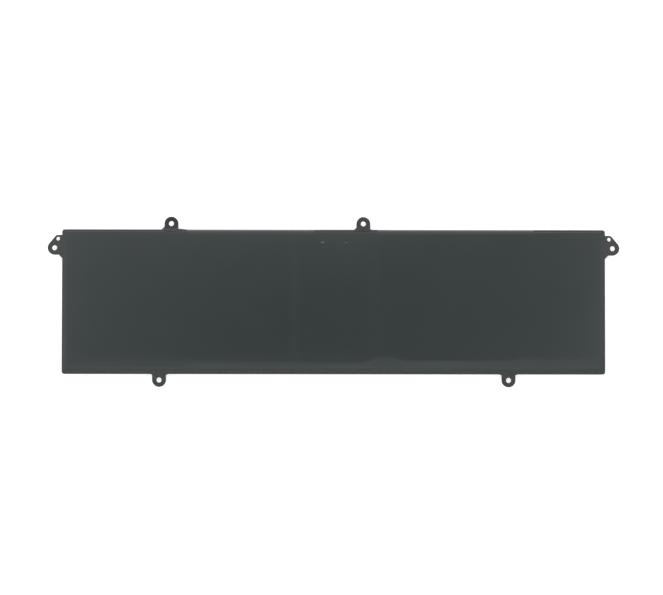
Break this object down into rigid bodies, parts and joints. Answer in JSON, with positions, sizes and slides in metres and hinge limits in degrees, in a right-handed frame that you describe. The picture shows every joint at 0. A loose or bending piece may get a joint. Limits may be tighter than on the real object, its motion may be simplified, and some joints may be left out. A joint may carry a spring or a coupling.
{
  "type": "laptop battery",
  "caption": "Slim flat laptop battery pack: black film over pouch cells in a moulded frame with screw ears, a protection board and an edge connector between the cells.",
  "frame": {"origin": "under the middle of the pack, on the front film's outer face", "axes": "+X along the pack, to the right in the picture; +Y towards the connector edge; +Z out of the back film, the side pictured"},
  "size_m": [0.2722, 0.081, 0.0058],
  "materials": {
    "frame_plastic": "fine moulded texture, near black",
    "skin_film": "satin black polyester film",
    "pouch_laminate": "dull aluminium laminate",
    "adhesive": "milky double-sided adhesive sheet",
    "aluminium_tab": "bright rolled strip",
    "nickel": "bright nickel strip",
    "seal_resin": "translucent white resin",
    "amber_tape": "glossy amber tape",
    "board_laminate": "green solder mask",
    "connector_resin": "black moulded resin",
    "gold_contact": "gold-plated contact",
    "chip_resin": "black moulded package",
    "capacitor_ceramic": "tan ceramic chip",
    "resistor_ceramic": "dark coated ceramic chip",
    "fuse_ceramic": "off-white ceramic body",
    "foam": "closed-cell foam"
  },
  "bodies": {
    "root": {"back_film": "skin_film", "bay_foam": "foam", "board_foam": "foam", "board_insulator": "amber_tape", "capacitor_1": "capacitor_ceramic", "capacitor_2": "capacitor_ceramic", "capacitor_3": "capacitor_ceramic", "capacitor_4": "capacitor_ceramic", "cell_fuse": "fuse_ceramic", "charge_mosfet": "chip_resin", "circuit_board": "board_laminate", "connector_contact_1": "gold_contact", "connector_contact_2": "gold_contact", "connector_contact_3": "gold_contact", "connector_contact_4": "gold_contact", "connector_contact_5": "gold_contact", "connector_contact_6": "gold_contact", "connector_contact_7": "gold_contact", "connector_contact_8": "gold_contact", "connector_housing": "connector_resin", "discharge_mosfet": "chip_resin", "frame": "frame_plastic", "front_film": "skin_film", "gauge_chip": "chip_resin", "left_back_tape": "adhesive", "left_cell": "pouch_laminate", "left_front_tape": "adhesive", "left_negative_tab": "nickel", "left_negative_tab_seal": "seal_resin", "left_negative_weld_plate": "nickel", "left_positive_tab": "aluminium_tab", "left_positive_tab_seal": "seal_resin", "left_positive_weld_plate": "nickel", "left_terrace_tape": "amber_tape", "protector_chip": "chip_resin", "resistor_1": "resistor_ceramic", "resistor_2": "resistor_ceramic", "resistor_3": "resistor_ceramic", "resistor_4": "resistor_ceramic", "right_back_tape": "adhesive", "right_cell": "pouch_laminate", "right_front_tape": "adhesive", "right_negative_tab": "nickel", "right_negative_tab_seal": "seal_resin", "right_negative_weld_plate": "nickel", "right_positive_tab": "aluminium_tab", "right_positive_tab_seal": "seal_resin", "right_positive_weld_plate": "nickel", "right_terrace_tape": "amber_tape", "sense_resistor": "resistor_ceramic"}
  },
  "joints": []
}
